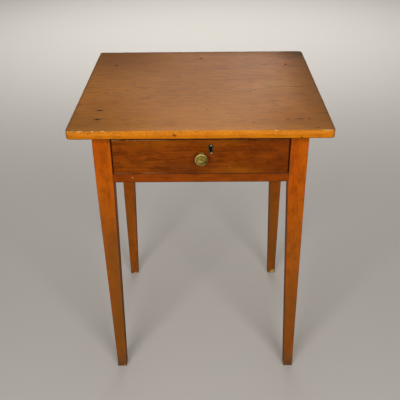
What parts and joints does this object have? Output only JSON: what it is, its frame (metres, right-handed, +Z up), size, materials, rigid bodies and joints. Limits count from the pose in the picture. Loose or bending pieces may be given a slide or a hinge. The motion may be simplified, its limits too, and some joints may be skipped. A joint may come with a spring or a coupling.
{
  "type": "tavern table",
  "caption": "Small wooden table on tapered square legs, with an overhanging top and a flush dovetailed drawer that has a turned brass knob and a keyed lock.",
  "frame": {"origin": "on the floor, under the middle of the top", "axes": "+X to the right, +Y to the back, +Z up; the drawer opens towards -Y"},
  "size_m": [0.569, 0.538, 0.73],
  "materials": {
    "top_pine": "aged satin varnish",
    "leg_pine": "aged satin varnish",
    "frame_pine": "aged satin varnish",
    "drawer_pine": "aged satin varnish",
    "raw_pine": "bare, aged",
    "peg_wood": "end grain",
    "brass": "dull, tarnished",
    "iron": "dark, oxidised"
  },
  "bodies": {
    "table": {"tabletop": "top_pine", "leg_front_left": "leg_pine", "leg_front_right": "leg_pine", "leg_rear_left": "leg_pine", "leg_rear_right": "leg_pine", "apron_left": "frame_pine", "apron_right": "frame_pine", "apron_rear": "frame_pine", "upper_rail": "frame_pine", "lower_rail": "frame_pine", "drawer_runner_left": "raw_pine", "drawer_runner_right": "raw_pine", "drawer_guide_left": "raw_pine", "drawer_guide_right": "raw_pine", "drawer_kicker_left": "raw_pine", "drawer_kicker_right": "raw_pine", "drawer_stops": "raw_pine", "tenon_pegs": "peg_wood", "top_nails": "iron", "strip_nails": "iron"},
    "drawer": {"drawer_front": "drawer_pine", "drawer_side_left": "raw_pine", "drawer_side_right": "raw_pine", "drawer_back": "raw_pine", "drawer_bottom": "raw_pine", "drawer_bottom_nails": "iron", "drawer_knob": "brass", "knob_bolt": "iron", "knob_nut": "iron", "keyhole_liner": "brass", "lock_plate": "brass", "lock_case": "brass", "lock_pin": "iron", "lock_spring": "iron", "lock_screws": "iron"},
    "lock_bolt": {"lock_bolt": "iron"}
  },
  "joints": [
    {"name": "drawer_slide", "type": "slide", "parent": "table", "child": "drawer", "axis": [0, -1, 0], "range_m": [0, 0.3]},
    {"name": "lock_bolt_throw", "type": "slide", "parent": "drawer", "child": "lock_bolt", "axis": [0, 0, 1], "range_m": [0, 0.008]}
  ]
}
